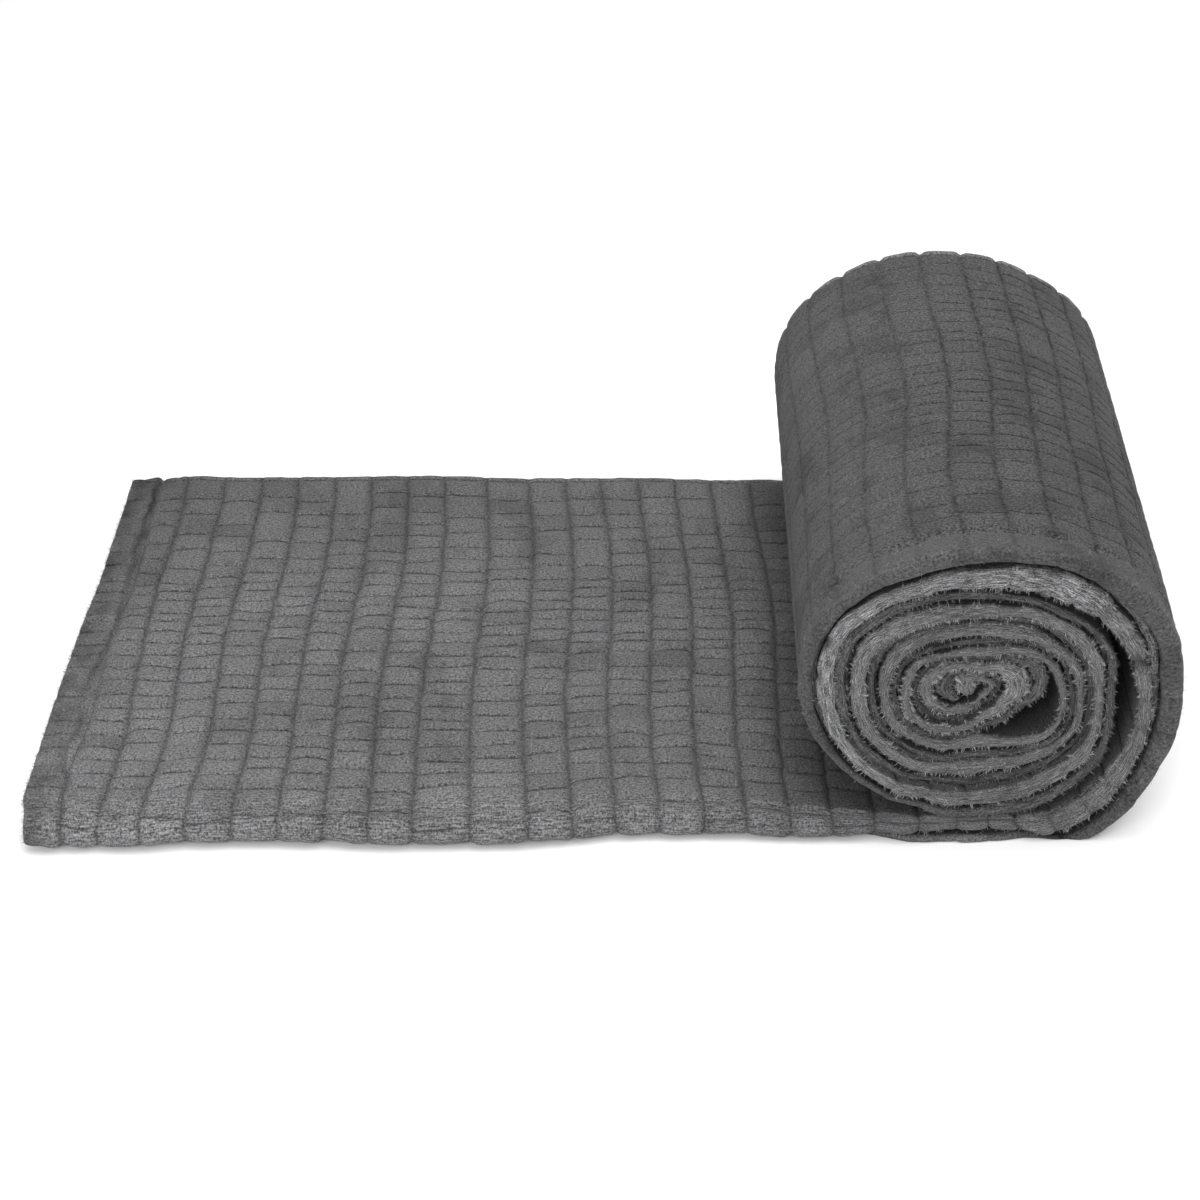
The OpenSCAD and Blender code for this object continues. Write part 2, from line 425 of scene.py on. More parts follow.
def fold_gap(name, f, s, height, girth, columns, gap):
    """Distance to a cross groove once the folds have cells of their own. On the front fold it is signed,
    so that it crosses zero between two lines."""
    place = np.random.default_rng(17).uniform(0.62, 0.98, LAST_COLUMN + 2)[columns + 1][:, None]
    front_gap = np.clip((f - place - wave(0.05, s, 0.011, 4.4, 63)) * girth, -FAR, FAR)
    back_gap = np.minimum(np.abs((f * 3 + 0.5) % 1 - 0.5) / 3 * np.pi * height / 2, FAR)
    gap = np.where((name == "ply_3") & (f < 0.02), FAR, gap)
    return by_segment(name, {"front_fold": front_gap, "back_fold": back_gap}, gap)


def carve_strength(name, f, s, across, angle):
    """How strongly each part of the section shows the carving."""
    wound_fold = 1 - 0.55 * smooth(angle / 40) * (1 - 0.4 * ramp(f, 0.7, 0.3))
    # on the skin the carving is brushed nearly flat in places
    patches = noise(s / 0.11, across * 2.2, 61) + 0.35 - 0.9 * ramp(angle, 150, 60)
    brushed_skin = 0.95 * (0.5 + 0.5 * smooth(patches / 0.9 + 0.45))
    strengths = {"ply_3": 1, "front_fold": wound_fold, "back_fold": 0.9, "ply_4": brushed_skin,
                 "hem_4": 0.35, "lip_4": 0.25, "lip_1": 0.2}
    strength = by_segment(name, strengths) * np.where(s < END_HEM, 0.7, 1)
    strength = strength * (1 - 0.45 * bell(s - END_HEM, 0.008))
    return strength * (1 - 0.65 * ramp(angle, INNER_TURNS, 60))


# ------ relief of the cloth's face
COLUMN_DEPTH, COLUMN_GROOVE = 0.0013, 0.0018  # depth and half width of a column groove
CROSS_DEPTH, CROSS_GROOVE = 0.0009, 0.0011  # and of a cross groove
PILLOW = 0.0006  # how far the middle of a cell stands out
SKIN_PLY = 0.28  # about the width of ply 4 between the back fold and its hem


def carved_relief(name, s, across, angle, flat, strength, groove, gap):
    """Height of the carved cells."""
    skin, fold = name == "ply_4", name == "front_fold"
    relief = strength * np.where(skin, 0.65, 1) * np.where(fold, 0.55 + 0.45 * smooth(angle / 40), 1)
    back_edge = flat & np.isin(name, ("back_fold", "ply_3"))
    relief = relief * (1 - 0.8 * back_edge * ramp(across, 0.965, 0.04))
    column = bell(groove, COLUMN_GROOVE)
    cross = bell(gap, CROSS_GROOVE) * np.where(skin, 0.6, 1)
    depth = COLUMN_DEPTH * column + CROSS_DEPTH * cross * (1 - 0.5 * column)
    depth = depth * (1 + 0.35 * noise(s / 0.03, across * 11, 51))
    along = 1 - (1 - np.minimum(groove / 0.0095, 1)) ** 3
    pillow = PILLOW * along * np.minimum(np.abs(gap) / 0.0045, 1) ** 0.7
    return (pillow - depth) * relief


def hem_relief(name, f, s, y):
    """Height of the puckered hems, whose stitch lines are sunk."""
    side_hem = np.isin(name, ("hem_4", "lip_4"))
    to_seam = by_segment(name, {"hem_4": f * SIDE_HEM, "ply_4": (1 - f) * SKIN_PLY}, 1)
    height = -0.0019 * bell(to_seam, 0.0024) * (1 + wave(0.6, s, 0.014, 2.2, 52))
    height = height + side_hem * (0.0005 * noise(s / 0.013, f * 2, 53) + 0.0006 * noise(s / 0.03, f, 57))
    share = np.clip(s / END_HEM, 0, 1)
    wrinkle = noise(y / 0.007, s / 0.02, 54) + 0.7 * noise(y / 0.003, s / 0.006, 60)
    end_hem = 0.0007 * np.sin(np.pi * share) + 0.0010 * wrinkle * smooth(share * 3)
    seam = END_HEM + wave(0.0022, y, 0.012, 0.4, 62) + wave(0.0015, y, 0.05, 0.7, 64)
    end_seam = 0.0013 * bell(s - seam, 0.0022) * (1 + wave(0.8, y, 0.008, 1.1, 55))
    return height + np.where(np.isin(name, HIDDEN), 0, end_hem * (s < END_HEM) - end_seam)


def pile_relief(name, f, s, y, level):
    """Height of the pile's fine unevenness, and of the soft ridges along the folded edges."""
    fine = np.select([np.isin(name, HIDDEN), np.isin(name, ("hem_4", "lip_4"))], [0, 0.00008], 0.00030)
    ridges = 0.00045 * noise(s / 0.02, f * 9, 58) + 0.0005 * noise(s / 0.011, f * 3, 59)
    edges = np.isin(name, ("front_fold", "lip_4", "lip_1"))
    return fine * noise(s / 0.004, y / 0.004 + level / 0.003, 56) + ridges * edges


def surface_normals(points):
    """Unit normals of a grid of points."""
    normals = np.cross(np.gradient(points, axis=0), np.gradient(points, axis=1))
    return normals / np.maximum(np.linalg.norm(normals, axis=2, keepdims=True), 1e-12)


# ------ grids of the sheet
# Values that the material reads, among them the painted shade and the painted light; s and u are places along
# and across the flat panel
CARRIED = ("groove", "gap", "tone", "s", "u", "skin", "carve", "fold", "painted_shade", "painted_light_and_tone")
FREE_EDGE_RADIUS, CORE_EDGE_RADIUS = 0.0021, 0.0012
EDGE_BACKS = (0.006, 0.014)  # places of the last two rows of an end hem, inside the stack
EDGE_REACH = (0.001, 0.02)  # texture length of an end hem's first and last extra row
# Where the segments start across the flat panel, which is 1.3 m wide, and where the last one ends
PANEL_PLACES = np.array([
    -0.018, 0, 0.007, 0.325, 0.327, 0.632, 0.668, 0.960, 0.985, 1.270, 1.291, 1.3, 1.318,
])


def make_grid(rows, lines):
    """Points of a stretch of the sheet, with all their values."""
    places, columns, column_t = rows[:, 0], rows[:, 1].astype(int), rows[:, 2]
    number = lines[:, 0].astype(int)
    name = np.array(SEGMENTS)[number]
    f, gap, tone = carved_lines(columns, column_t, lines)
    s = np.broadcast_to(places[:, None], f.shape)
    groove = np.broadcast_to(np.minimum(column_t, 1 - column_t)[:, None] * COLUMN, f.shape)
    first_station = station_at(s)
    angle = np.maximum(first_station, 0)
    height = loft(first_station)
    y, level, girth = section(name, f, s, height, angle)
    gap = fold_gap(name, f, s, height, girth, columns, gap)
    # painted shade of the creases, under the roll and inside it
    painted_shade = painted_shade_of(name, f, girth, y, angle, s)
    # the lines sway along the strip, and take the height of the stack where they then lie
    across = across_of(y)
    held = ramp(s, END_HEM, 0.03) * smooth((CLOTH_LENGTH - END_HEM - s) / 0.03)
    seam_sway = 0.0028 * noise(across * 8, 0.3, 34) * bell(s - END_HEM, 0.013) * (s < 0.1)
    s = np.clip(s + column_shift(s, across) * held + seam_sway, 0, CLOTH_LENGTH)
    station = station_at(s)
    angle, flat = np.maximum(station, 0), station < 0
    level = level * loft(station) / height
    x, z = base(station, level, y)
    # the free end is drawn in, most at its back and its corners
    corner = 0.0032 * ramp(across, 0.45, 0.25) + 0.0030 * (1 - smooth(across / 0.05))
    x = x + (0.0030 + 0.0050 * across + corner) * (1 - smooth(s / 0.045))
    swell = 0.0009 * noise(s / 0.06, across * 4, 41) + 0.0006 * noise(s / 0.025, across * 9, 42)
    z = z + flat * swell * np.clip(level / loft(station), 0, 1)
    points = np.stack([x, y, z], axis=2)
    normal = surface_normals(points)
    carve = carve_strength(name, f, s, across, angle)
    relief = carved_relief(name, s, across, angle, flat, carve, groove, gap)
    relief = relief + hem_relief(name, f, s, y) + pile_relief(name, f, s, y, level)
    uneven = wave(0.0007, s, 0.034, 6.6, 66) * (1 - smooth(angle / 40))
    relief = np.where(name == "front_fold", relief * (1 + wave(0.45, s, 0.027, 1.9, 65)) + uneven, relief)
    points = points + normal * relief[..., None]
    points[..., 2] = np.maximum(points[..., 2], FLOOR_GAP)
    across_panel = PANEL_PLACES[number] + np.diff(PANEL_PLACES)[number] * f
    skin = np.isin(name, ("ply_4", "hem_4", "lip_4", "turn_4")) * smooth(angle / 30)
    grid = dict(points=points, normal=normal, name=name, f=f, s=s, y=y, angle=angle, u=across_panel,
                groove=groove, gap=gap, tone=tone, carve=carve, painted_shade=painted_shade, skin=skin)
    # painted light and shade of the colour
    add_painted_light(grid)
    return grid


def add_painted_light(grid):
    """Adds how far a point belongs to a folded edge, and the painted light and shade of its colour, together
    with the end hem's mottle and dark seam.
    """
    name, angle, s, y, skin = (grid[key] for key in ("name", "angle", "s", "y", "skin"))
    lying, inner, across = 1 - smooth(angle / 30), ramp(angle, 320, 50), across_of(y)
    # painted highlight: the folded edges are painted lighter where they catch more light, most on the outer
    # turn at its top left, and again on the inner turns and the core
    outer = smooth(angle / 60) * (1 - ramp(angle, 300, 60)) * (0.10 + 0.90 * ramp(angle, 90, 60))
    folds = {"front_fold": 1.0, "ply_3": (1 - ramp(y - FRONT_Y, 0.010, 0.016)) * lying, "lip_1": 0.8,
             "lip_4": 0.1 + 0.5 * ramp(angle, INNER_TURNS, 50)}
    fold = by_segment(name, folds)
    level = 0.26 + 1.34 * outer + 0.58 * inner + 0.50 * ramp(angle, 1250, 100)
    # painted shade: the flat part is painted darker towards the back and in the roll's shadow near it
    back = 0.40 * across**2 + 0.22 * across * (1 - smooth(s / 0.16)) - 0.06
    back = back + 0.18 * (1 - 0.5 * across) * ramp(s, 0.22, 0.12)
    # painted light: the skin is painted lighter on the roll's top and left, and inside the roll
    painted_skin_light = skin * (0.09 * ramp(angle, 110, 60) + 0.60 * inner)
    # the end hem is mottled, with a ragged dark seam
    mottle = 0.34 * noise(y / 0.012, s / 0.009, 35) + 0.30 * noise(y / 0.005, s / 0.005, 36) - 0.06
    end_hem = smooth(1 - s / 0.028) * mottle - 0.5 * smooth(1 - s / END_HEM)
    seam = END_HEM - 0.003 + wave(0.006, y, 0.028, 0.7, 37) + wave(0.0015, y, 0.006, 0.2, 38)
    dark = (0.55 + wave(0.55, y, 0.018, 0.4, 39)) * bell(s - seam, 0.0026) * (name != "ply_1")
    # painted light and shade, with the end hem's mottle and its dark seam
    grid["painted_light_and_tone"] = fold * level * (1 - skin) - back * lying + painted_skin_light + end_hem - dark
    grid["fold"] = fold * (0.60 + 0.40 * smooth(angle / 60) + 0.8 * outer + 0.6 * inner)


def end_grid(grid, row, inward, radius):
    """Rows that close an end hem of a grid: they turn round the cloth's edge and run back inside."""
    points, normal = grid["points"][row], grid["normal"][row]
    outward = points - grid["points"][row + inward]
    outward /= np.maximum(np.linalg.norm(outward, axis=1, keepdims=True), 1e-9)
    radius = np.where(np.isin(grid["name"], ("turn_1", "turn_4")), 0.25 * radius, radius)[:, None]
    turns = [outward * radius * math.sin(a) - normal * radius * (1 - math.cos(a))
             for a in np.linspace(0, np.pi, 9)[1:]]
    backs = [-outward * back - normal * radius * 2 for back in EDGE_BACKS]
    rows = points + np.array(turns + backs)
    rows[..., 2] = np.maximum(rows[..., 2], FLOOR_GAP)
    end = {key: np.repeat(grid[key][row][None], len(rows), axis=0) for key in CARRIED}
    end["s"] = end["s"] - inward * np.linspace(*EDGE_REACH, len(rows))[:, None]
    # round the cloth's edge the painted shade is lighter
    end["painted_shade"] = end["painted_shade"] * 0.4
    end["points"] = rows
    return end


class Sheet:
    """Collects grids and the faces that join them into one mesh."""

    def __init__(self):
        self.points, self.faces, self.values = [], [], {key: [] for key in CARRIED}
        self.count = 0
        self.last_row = None

    def add(self, grid):
        """Adds a grid and returns the numbers of its points."""
        rows, cols = grid["points"].shape[:2]
        ids = np.arange(rows * cols).reshape(rows, cols) + self.count
        self.points.append(grid["points"].reshape(-1, 3))
        for key in CARRIED:
            self.values[key].append(grid[key].reshape(-1))
        for row in range(rows - 1):
            self.join(ids[row], ids[row + 1])
        self.count += rows * cols
        return ids

    def add_next(self, grid, lines):
        """Adds a grid and joins it to the one before."""
        ids = self.add(grid)
        where = lines[:, 0] + lines[:, 1]
        if self.last_row:
            self.join_uneven(*self.last_row, ids[0], where)
        self.last_row = (ids[-1], where)
        return ids

    def join(self, ids_a, ids_b):
        """Joins two rows of the same count."""
        self.faces.extend(np.stack([ids_a[:-1], ids_b[:-1], ids_b[1:], ids_a[1:]], axis=1).tolist())

    def join_uneven(self, ids_a, where_a, ids_b, where_b):
        """Joins two rows of different counts."""
        i = j = 0
        while i < len(ids_a) - 1 or j < len(ids_b) - 1:
            if j == len(ids_b) - 1 or (i < len(ids_a) - 1 and where_a[i + 1] <= where_b[j + 1]):
                self.faces.append([int(ids_a[i]), int(ids_b[j]), int(ids_a[i + 1])])
                i += 1
            else:
                self.faces.append([int(ids_a[i]), int(ids_b[j]), int(ids_b[j + 1])])
                j += 1


def column_rows(first_column, last_column, column_samples):
    """The grid's rows between two columns: place along the stack, column, and place in the column."""
    rows = [(place_of(column + t), column, t) for column in range(first_column, last_column)
            for t in column_samples]
    return np.array(rows)


def hem_rows(places, column):
    """The same for the rows of an end hem."""
    return np.stack([places, np.full(len(places), column), np.full(len(places), 0.5)], axis=1)


def link(name, mesh):
    """Object of a mesh, in the scene."""
    piece = bpy.data.objects.new(name, mesh)
    bpy.context.scene.collection.objects.link(piece)
    return piece


def set_values(mesh, values):
    """Writes named values of the mesh's points."""
    for name, data in values.items():
        mesh.attributes.new(name, "FLOAT", "POINT").data.foreach_set("value", data.astype(np.float32))


def cloth_mesh(sheet):
    """Mesh of the whole sheet, with the flat panel as its texture space."""
    values = {key: np.concatenate(parts) for key, parts in sheet.values.items()}
    mesh = bpy.data.meshes.new("blanket_cloth")
    mesh.from_pydata(np.concatenate(sheet.points).tolist(), [], sheet.faces)
    mesh.update()
    mesh.shade_smooth()
    corner = np.zeros(len(mesh.loops), np.int32)
    mesh.loops.foreach_get("vertex_index", corner)
    panel = np.stack([values.pop("s"), values.pop("u")], axis=1)[corner]
    mesh.uv_layers.new(name="cloth").data.foreach_set("uv", panel.astype(np.float32).ravel())
    values["groove_mm"] = values.pop("groove") / MM
    values["gap_mm"] = values.pop("gap") / MM
    set_values(mesh, values)
    return mesh


# The free end's hem and the flat part, then the outer turn, then the inner turns and the core's hem
sheet = Sheet()
flat_lines, skin_lines, inner_lines = lines_of(True, True), lines_of(False, True), lines_of(False, False)
free_hem = hem_rows(END_HEM_T * END_HEM, -1)
core_hem = hem_rows(CLOTH_LENGTH - END_HEM_T[::-1] * END_HEM, LAST_COLUMN)
flat_rows = np.concatenate([free_hem, column_rows(0, FLAT_COLUMNS, COLUMN_T)])
skin_rows = column_rows(FLAT_COLUMNS, SKIN_COLUMNS, COLUMN_T)
inner_rows = np.concatenate([column_rows(SKIN_COLUMNS, CORE_COLUMNS, COARSE_T),
                             column_rows(CORE_COLUMNS, LAST_COLUMN, CORE_T), core_hem])
flat_grid = make_grid(flat_rows, flat_lines)
skin_grid = make_grid(skin_rows, skin_lines)
inner_grid = make_grid(inner_rows, inner_lines)
free_end = {key: rows[::-1] for key, rows in end_grid(flat_grid, 0, 1, FREE_EDGE_RADIUS).items()}
core_end = end_grid(inner_grid, -1, -1, CORE_EDGE_RADIUS)
flat_ids = sheet.add_next(flat_grid, flat_lines)
sheet.join(sheet.add(free_end)[-1], flat_ids[0])
sheet.add_next(skin_grid, skin_lines)
inner_ids = sheet.add_next(inner_grid, inner_lines)
sheet.join(inner_ids[-1], sheet.add(core_end)[0])
cloth = link("blanket_cloth", cloth_mesh(sheet))


# ------ material
class Nodes:
    """Adds nodes to a material."""

    def __init__(self, name):
        self.material = bpy.data.materials.new(name)
        self.material.use_nodes = True
        self.tree = self.material.node_tree
        self.tree.nodes.clear()

    def add(self, kind, inputs=None, **settings):
        """Adds a node with its settings and inputs."""
        node = self.tree.nodes.new(kind)
        for key, value in settings.items():
            setattr(node, key, value)
        for key, value in (inputs or {}).items():
            self.put(node.inputs[key], value)
        return node

    def put(self, socket, value):
        """Links a socket, or sets it to a constant."""
        if isinstance(value, bpy.types.NodeSocket):
            self.tree.links.new(value, socket)
        else:
            socket.default_value = value

    def math(self, operation, a, b=0.0, c=0.0):
        node = self.add("ShaderNodeMath", operation=operation)
        for socket, value in zip(node.inputs, (a, b, c)):
            self.put(socket, value)
        return node.outputs[0]

    def times(self, a, b):
        return self.math("MULTIPLY", a, b)

    def times_add(self, a, factor, b):
        """a times factor, plus b."""
        return self.math("MULTIPLY_ADD", a, factor, b)

    def changed(self, light, amount, share):
        """Light, made brighter or darker by a share of an amount."""
        return self.times(light, self.times_add(amount, share, 1.0))

    def value(self, name):
        return self.add("ShaderNodeAttribute", attribute_name=name).outputs["Fac"]

    def noise(self, vector, scale, detail, rough):
        inputs = {"Vector": vector, "Scale": scale, "Detail": detail, "Roughness": rough}
        return self.add("ShaderNodeTexNoise", inputs, noise_dimensions="2D").outputs["Fac"]

    def centred(self, vector, scale, detail, rough):
        """Noise around 0."""
        return self.math("SUBTRACT", self.noise(vector, scale, detail, rough), 0.5)

    def bell(self, distance, width):
        ratio = self.math("DIVIDE", distance, width)
        return self.math("POWER", EULER, self.times(self.times(ratio, ratio), -1.0))

    def step(self, value, low, high):
        """Smooth step from 0 at low to 1 at high."""
        inputs = {"Value": value, "From Min": low, "From Max": high}
        return self.add("ShaderNodeMapRange", inputs, interpolation_type="SMOOTHSTEP").outputs[0]

    def scaled(self, vector, x, y):
        return self.add("ShaderNodeMapping", {"Vector": vector, "Scale": (x, y, 1)}).outputs[0]

    def tint(self, colour, light):
        """A colour times a light."""
        node = self.add("ShaderNodeVectorMath", {0: colour, "Scale": light}, operation="SCALE")
        return node.outputs[0]

    def finish(self, **inputs):
        """Adds the shader. Its inputs are named with _ for each space."""
        shader = self.add("ShaderNodeBsdfPrincipled", {key.replace("_", " "): v for key, v in inputs.items()})
        self.add("ShaderNodeOutputMaterial", {"Surface": shader.outputs[0]})
        return self.material


EULER = 2.718
CLOTH_GREY = (0.175, 0.175, 0.178)
TIP_HIGHLIGHT_GREY = (0.52, 0.52, 0.525)
THREAD_GREY = (0.075, 0.075, 0.077)
FLOOR_WHITE = (0.92, 0.92, 0.92)
SHEEN_TINT = (0.8, 0.8, 0.82, 1)
PILE_BUMP = 0.0021


def painted_groove_shade(n, uv, blur, skin):
    """Painted shade in the carved grooves: soft along the columns, thin and broken across them."""
    column = n.math("ABSOLUTE", n.times_add(blur, 3.6, n.value("groove_mm")))
    cross = n.math("ABSOLUTE", n.times_add(blur, 1.8, n.value("gap_mm")))
    dashed = n.times_add(n.step(n.noise(uv, 130, 2, 0.6), 0.40, 0.62), 0.7, -0.35)
    line = n.times(n.bell(column, 1.05), n.times_add(n.math("ADD", 0.20, dashed), skin, 0.73))
    broken = n.times_add(n.noise(uv, 95, 1, 0.5), 2.6, -0.4)
    broken = n.math("MINIMUM", n.math("MAXIMUM", broken, 0.6), 1.0)
    cross_line = n.times(n.bell(cross, n.times_add(blur, 1.2, 0.62)), broken)
    cross_line = n.times(cross_line, n.times_add(skin, -0.10, 0.87))
    dark = n.math("MAXIMUM", line, cross_line)
    dark = n.math("MAXIMUM", dark, n.times(n.bell(column, 2.7), 0.36))
    return n.times(dark, n.value("carve"))


def brushed_light(n, uv, skin):
    """Pile that is brushed one way or the other, in ragged patches and broad drifts."""
    ragged = n.step(n.noise(uv, 26, 4, 0.62), 0.53, 0.60)
    light = n.math("SUBTRACT", 1.0, n.times(ragged, n.times_add(skin, 0.12, 0.17)))
    light = n.times_add(n.centred(uv, 9, 3, 0.55), 0.7, light)
    return n.times_add(n.value("tone"), 0.045, light)


def plush(name):
    """Short dense pile with carved cells."""
    n = Nodes(name)
    uv = n.add("ShaderNodeUVMap", uv_map="cloth").outputs[0]
    skin, fold = n.value("skin"), n.value("fold")
    # painted shade in the carved grooves
    dark = painted_groove_shade(n, uv, n.centred(uv, 420, 3, 0.7), skin)
    # grain of the pile, and fine long wrinkles along the folded edges
    lip = n.times(skin, n.math("SUBTRACT", 1.0, n.step(n.value("carve"), 0.36, 0.55)))
    calm = n.times_add(lip, -0.55, n.times_add(skin, 0.35, 1.0))
    grain = n.times(n.centred(uv, 860, 2, 0.8), calm)
    fibre = n.times(n.centred(n.scaled(uv, 450, 1100), 1.0, 2, 0.7), calm)
    clump = n.centred(uv, 330, 3, 0.65)
    wrinkle = n.times(n.centred(n.scaled(uv, 110, 1150), 1.0, 3, 0.7), fold)
    texture = n.times_add(grain, 3.2, 1.0)
    texture = n.times_add(fibre, 1.8, texture)
    texture = n.times_add(clump, 0.6, texture)
    texture = n.times_add(n.times(grain, fold), 1.1, texture)
    texture = n.math("MAXIMUM", n.times_add(wrinkle, 5.2, texture), 0.25)
    light = n.times(brushed_light(n, uv, skin), texture)
    # the skin darker, then the painted light and shade
    light = n.changed(n.changed(light, skin, -0.63), n.value("painted_light_and_tone"), 0.65)
    # painted shade in the grooves, the creases, and under and inside the roll
    light = n.changed(n.changed(light, dark, -0.74), n.value("painted_shade"), -0.88)
    height = n.times_add(clump, 0.8, n.times_add(fibre, 0.7, grain))
    height = n.times_add(wrinkle, 2.0, n.changed(height, skin, -0.4))
    height = n.times_add(dark, -1.0, height)
    bump = n.add("ShaderNodeBump", {"Strength": 1.0, "Distance": PILE_BUMP, "Height": height}).outputs[0]
    colour = n.tint(CLOTH_GREY, n.math("MAXIMUM", light, 0.06))
    return n.finish(Base_Color=colour, Normal=bump, Roughness=0.88, Sheen_Weight=0.14, Sheen_Roughness=0.45,
                    Sheen_Tint=SHEEN_TINT, Specular_IOR_Level=0.2)


def hair_material(name):
    """Loose hairs of the pile, with painted shade at their roots and a painted highlight towards their tips.
    """
    n = Nodes(name)
    # painted light: dark at the root, in the crevice's shade, lighter towards the tip
    light = n.times_add(n.value("tip"), 0.85, 0.35)
    light = n.times_add(n.value("shade"), 0.25, light)
    light = n.changed(light, n.value("skin"), -0.4)
    return n.finish(Base_Color=n.tint(TIP_HIGHLIGHT_GREY, n.math("MAXIMUM", light, 0.1)), Roughness=0.75,
                    Sheen_Weight=0.3, Specular_IOR_Level=0.25)


def plain_material(name, colour, roughness, specular):
    """One colour all over."""
    return Nodes(name).finish(Base_Color=(*colour, 1), Roughness=roughness, Specular_IOR_Level=specular)


cloth.data.materials.append(plush("plush_pile"))

# ------ pile tips along the edges
TIP_LENGTH, TIP_RADIUS = (0.0012, 0.0032), (0.00010, 0.00017)  # shortest and longest, thinnest and thickest
TIP_FACES = ((0, 1, 3), (1, 2, 3), (2, 0, 3), (0, 2, 1))
TUFT = 0.0028  # hairs this far apart lean together
# Hairs per square metre, where they are densest
FLAT_TIPS, SKIN_TIPS, INNER_TIPS, END_TIPS = 1.2e6, 0.7e6, 1.1e6, 0.8e6


def tip_share(grid):
    """How densely the hairs stand on each face: most on the rims of the folds and the lips."""
    # each face goes by its first corner
    name = grid["name"][:-1]
    angle, f, s = (grid[key][:-1, :-1] for key in ("angle", "f", "s"))
    wound, edge = smooth(angle / 60), np.minimum(f, 1 - f)
    rim = (0.12 + 0.88 * bell(edge - 0.20, 0.07)) * ramp(edge, 0.05, 0.06)
    shares = {
        "front_fold": wound * rim + 0.4 * (1 - wound) * (1 - smooth(f / 0.25)),
        "lip_4": 0.03 + 0.75 * rim * ramp(angle, INNER_TURNS, 40),
        "lip_1": 0.7 * wound * rim,
        "hem_4": 0.03 * wound,
    }
    share = by_segment(name, shares) * np.where(angle > 1300, 2.2, 1)
    return np.where(s < 0.40, share * (name == "front_fold"), share)


def grown_tips(points, skin, density, r):
    """Roots and tips of the hairs on one grid, and their skin values."""
    normals = surface_normals(points)
    diagonals = points[1:, 1:] - points[:-1, :-1], points[1:, :-1] - points[:-1, 1:]
    area = np.linalg.norm(np.cross(*diagonals), axis=2) / 2
    counts = r.poisson(density * area)
    rows, cols = np.nonzero(counts)
    times = counts[rows, cols]
    rows, cols = np.repeat(rows, times), np.repeat(cols, times)
    u, v = r.uniform(size=(2, len(rows), 1))
    near = points[rows, cols] * (1 - u) + points[rows + 1, cols] * u
    far = points[rows, cols + 1] * (1 - u) + points[rows + 1, cols + 1] * u
    spot = near * (1 - v) + far * v
    up = normals[rows, cols]
    # neighbouring hairs lean together, so they form small tufts
    x, y, z = (spot / TUFT).T
    lean = np.stack([noise(x + y, z, 71), noise(x, y + z, 72), noise(y, z + x, 73)], axis=1)
    way = up * 0.7 + lean * 0.8 + r.normal(0, 0.2, spot.shape)
    way /= np.linalg.norm(way, axis=1, keepdims=True)
    sunk = np.sum(way * up, axis=1, keepdims=True) < 0.15
    way = np.where(sunk, way + up * 0.5, way)
    length = r.uniform(*TIP_LENGTH, len(spot))[:, None]
    return spot - up * 0.0003, spot + way * length, skin[rows, cols]


def pile_tips(patches, seed):
    """Fine tapered hairs along the folds, the lips and the end hem."""
    r = np.random.default_rng(seed)
    grown = [grown_tips(points, skin, density, r) for points, skin, density in patches]
    roots, tips, skin = (np.concatenate(parts) for parts in zip(*grown))
    clear = tips[:, 2] > 0.0006
    roots, tips, skin = roots[clear], tips[clear], skin[clear]
    roots[:, 2] = np.maximum(roots[:, 2], 0.0005)
    axis = tips - roots
    axis /= np.linalg.norm(axis, axis=1, keepdims=True)
    side = np.cross(axis, r.normal(size=axis.shape))
    side /= np.linalg.norm(side, axis=1, keepdims=True)
    other = np.cross(axis, side)
    count = len(axis)
    radius = r.uniform(*TIP_RADIUS, count)[:, None]
    turns = [2 * np.pi * k / 3 for k in range(3)]
    corners = [roots + radius * (side * math.cos(turn) + other * math.sin(turn)) for turn in turns]
    corners = np.stack(corners + [tips], axis=1)
    first = np.arange(count)[:, None] * 4
    faces = np.concatenate([first + np.array(face) for face in TIP_FACES])
    mesh = bpy.data.meshes.new("blanket_pile_tips")
    mesh.from_pydata(corners.reshape(-1, 3).tolist(), [], faces.tolist())
    mesh.update()
    set_values(mesh, {"tip": np.tile([0, 0, 0, 1.0], count), "skin": np.repeat(skin, 4),
                      "shade": np.repeat(r.normal(0, 1, count), 4)})
    mesh.materials.append(hair_material("plush_tips"))
    return link("blanket_pile_tips", mesh)


densities = ((flat_grid, FLAT_TIPS), (skin_grid, SKIN_TIPS), (inner_grid, INNER_TIPS))
patches = [(grid["points"], grid["skin"], tip_share(grid) * density) for grid, density in densities]
tips = pile_tips(patches + [(free_end["points"], free_end["skin"], END_TIPS)], 81)

# ------ stitches of the hems
STITCH_PITCH, STITCH_LENGTH, STITCH_RADIUS = 0.0045, 0.0034, 0.00028
STITCH_SIDES = 6
STITCH_RINGS = ((-0.5, 0.35), (-0.36, 1.0), (0.36, 1.0), (0.5, 0.35))  # place along it, share of its radius


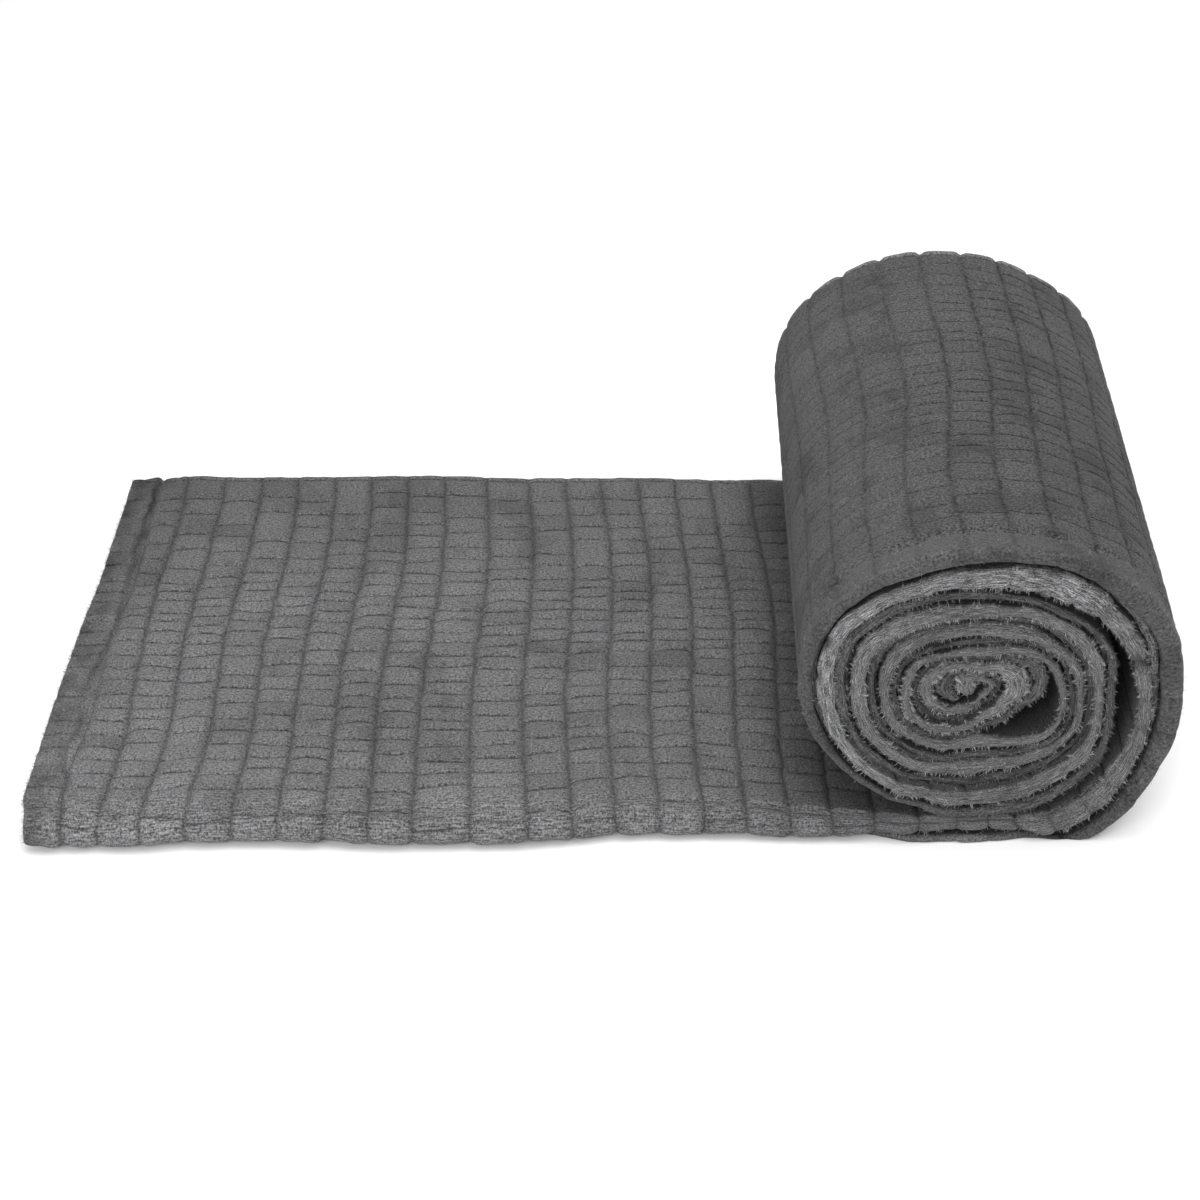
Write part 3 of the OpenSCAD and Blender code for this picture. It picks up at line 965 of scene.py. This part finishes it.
def stitch_row(path, normal):
    """Corners of short capsules that follow a line on the cloth, half sunk in the pile."""
    run = np.concatenate([[0], np.cumsum(np.linalg.norm(np.diff(path, axis=0), axis=1))])
    at = np.arange(STITCH_PITCH, run[-1] - STITCH_PITCH, STITCH_PITCH)

    def follow(where, data):
        return np.stack([np.interp(where, run, data[:, k]) for k in range(3)], axis=1)

    first, last = follow(at - STITCH_LENGTH / 2, path), follow(at + STITCH_LENGTH / 2, path)
    middle, stitch = (first + last) / 2, last - first
    side = np.cross(stitch, follow(at, normal))
    side /= np.linalg.norm(side, axis=1, keepdims=True)
    up = np.cross(side, stitch / np.linalg.norm(stitch, axis=1, keepdims=True))
    corners = []
    for place, share in STITCH_RINGS:
        for k in range(STITCH_SIDES):
            turn = 2 * np.pi * k / STITCH_SIDES
            out = side * math.cos(turn) + up * math.sin(turn)
            corners.append(middle + stitch * place + out * STITCH_RADIUS * share)
    return np.stack(corners, axis=1)


def side_row(segment, fraction):
    """Stitches along the whole cloth, at a fraction of a segment."""
    path, normal = [], []
    for grid, lines in grids:
        line = np.argmin(np.abs(lines[:, 0] + lines[:, 1] - SEGMENTS.index(segment) - fraction))
        path.append(grid["points"][:, line])
        normal.append(grid["normal"][:, line])
    return stitch_row(np.concatenate(path), np.concatenate(normal))


def end_row(grid, row, segment):
    """Stitches across one ply of an end hem."""
    own = grid["name"] == segment
    return stitch_row(grid["points"][row][own], grid["normal"][row][own])


def stitch_mesh(corners):
    """Mesh of all the stitches."""
    first = (np.arange(len(corners)) * len(STITCH_RINGS) * STITCH_SIDES)[:, None]
    ring = np.arange(STITCH_SIDES)
    faces = []
    for start in range(0, (len(STITCH_RINGS) - 1) * STITCH_SIDES, STITCH_SIDES):
        for k in range(STITCH_SIDES):
            a, b = start + k, start + (k + 1) % STITCH_SIDES
            faces.extend((first + np.array([a, b, b + STITCH_SIDES, a + STITCH_SIDES])).tolist())
    faces.extend((first + ring[::-1]).tolist())
    faces.extend((first + (len(STITCH_RINGS) - 1) * STITCH_SIDES + ring).tolist())
    points = corners.reshape(-1, 3)
    points[:, 2] = np.maximum(points[:, 2], 0.0001)
    mesh = bpy.data.meshes.new("blanket_stitches")
    mesh.from_pydata(points.tolist(), [], faces)
    mesh.update()
    mesh.shade_smooth()
    mesh.materials.append(plain_material("seam_thread", THREAD_GREY, 0.6, 0.5))
    return mesh


grids = ((flat_grid, flat_lines), (skin_grid, skin_lines), (inner_grid, inner_lines))
rows = [side_row("hem_4", 0.0), side_row("ply_1", 0.045)]
for grid, row in ((flat_grid, len(free_hem)), (inner_grid, -len(core_hem))):
    rows += [end_row(grid, row, segment) for segment in ("ply_1", "ply_2", "ply_3", "ply_4")]
stitches = link("blanket_stitches", stitch_mesh(np.concatenate(rows)))

# ------ bodies
seams = [name for name in sorted(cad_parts) if name.endswith(("_seam", "_seams"))]
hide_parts(*[name for name in sorted(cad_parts) if name not in seams])
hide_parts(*seams)
for piece, slot in ((cloth, "plush"), (tips, "plush"), (stitches, "thread")):
    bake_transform(piece)

# ------ floor, light and camera
FLOOR_HALF = 6.0


def softbox(name, place, aim, size, power):
    """Rectangular light that is turned towards a point."""
    data = bpy.data.lights.new(name, "AREA")
    data.shape = "RECTANGLE"
    data.size, data.size_y = size
    data.energy = power
    lamp = link(name, data)
    lamp.location = place
    x, y, z = np.subtract(aim, place)
    lamp.rotation_euler = (math.atan2(math.hypot(x, y), -z), 0, math.atan2(y, x) - math.pi / 2)


floor_mesh = bpy.data.meshes.new("floor")
floor_corners = [(x * FLOOR_HALF, y * FLOOR_HALF, 0) for x, y in ((-1, -1), (1, -1), (1, 1), (-1, 1))]
floor_mesh.from_pydata(floor_corners, [], [(0, 1, 2, 3)])
floor_mesh.materials.append(plain_material("pale_floor", FLOOR_WHITE, 0.9, 0.1))
link("floor", floor_mesh)

world = bpy.data.worlds.new("studio")
bpy.context.scene.world = world
world.use_nodes = True
background = world.node_tree.nodes["Background"].inputs
background["Color"].default_value = (1, 1, 1, 1)
background["Strength"].default_value = 0.45
softbox("top", (0.35, -0.25, 2.2), (0, 0, 0), (2.4, 2.4), 58)
softbox("front", (-0.5, -1.6, 1.1), (0.0, 0, 0.04), (1.4, 0.7), 20)

camera_data = bpy.data.cameras.new("camera")
camera_data.lens = 77.4
camera_data.sensor_width = 36
camera_data.shift_x = -0.03
camera = link("camera", camera_data)
camera.location = (0.0243, -1.1948, 0.8794)
camera.rotation_euler = (math.radians(55), 0, 0)
bpy.context.scene.camera = camera
bpy.context.scene.view_settings.view_transform = "Standard"
